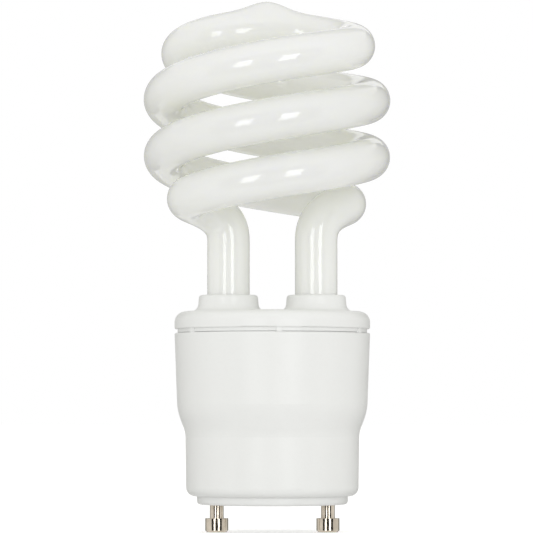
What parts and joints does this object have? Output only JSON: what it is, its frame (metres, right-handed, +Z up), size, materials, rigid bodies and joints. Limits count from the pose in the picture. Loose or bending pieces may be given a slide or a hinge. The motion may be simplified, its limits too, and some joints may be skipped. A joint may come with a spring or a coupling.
{
  "type": "spiral energy saving bulb",
  "caption": "Compact fluorescent spiral bulb: white glass double helix with a raised crown on a stepped white ballast housing, with a twist-lock base of headed contact pins.",
  "frame": {"origin": "centre of the base's flat face, midway between the contact pins", "axes": "+Z up the lamp from base to crown, X through both pins, +Y to the back of the pictured side"},
  "size_m": [0.0535, 0.0534, 0.115],
  "materials": {
    "glass": "phosphor-coated opal glass, glossy",
    "cover_plastic": "satin moulded white",
    "housing_plastic": "satin moulded white",
    "base_plastic": "satin moulded white",
    "plated_pin": "nickel plated, turned",
    "cement": "cast cement",
    "board": "paper laminate",
    "can_sleeve": "shrink sleeve",
    "film_red": "dipped coating",
    "film_green": "dipped coating",
    "ferrite": "sintered ferrite",
    "bobbin_plastic": "moulded",
    "copper_wire": "enamelled wire",
    "transistor_case": "moulded epoxy",
    "diode_case": "moulded epoxy",
    "resistor_coat": "lacquered",
    "trigger_coat": "lacquered",
    "fuse_coat": "lacquered",
    "tinned_wire": "tinned",
    "insulation_white": "extruded sleeve",
    "insulation_black": "extruded sleeve",
    "solder": "solder"
  },
  "bodies": {
    "root": {"spiral_tube": "glass", "top_cover": "cover_plastic", "lower_housing": "housing_plastic", "base_plate": "base_plastic", "pin_left": "plated_pin", "pin_right": "plated_pin", "leg_cement": "cement", "circuit_board": "board", "smoothing_capacitor": "can_sleeve", "filter_capacitor": "film_green", "resonance_capacitor": "film_red", "choke_core": "ferrite", "choke_bobbin": "bobbin_plastic", "choke_winding": "copper_wire", "drive_toroid": "ferrite", "toroid_winding": "copper_wire", "transistor_a": "transistor_case", "transistor_b": "transistor_case", "rectifier_diodes": "diode_case", "resistors": "resistor_coat", "trigger_diode": "trigger_coat", "fuse_resistor": "fuse_coat", "drum_core": "ferrite", "drum_winding": "copper_wire", "wrap_posts": "tinned_wire", "tube_leads_left": "tinned_wire", "tube_leads_right": "tinned_wire", "supply_wire_left": "insulation_white", "supply_wire_right": "insulation_black", "solder_joints": "solder"}
  },
  "joints": []
}
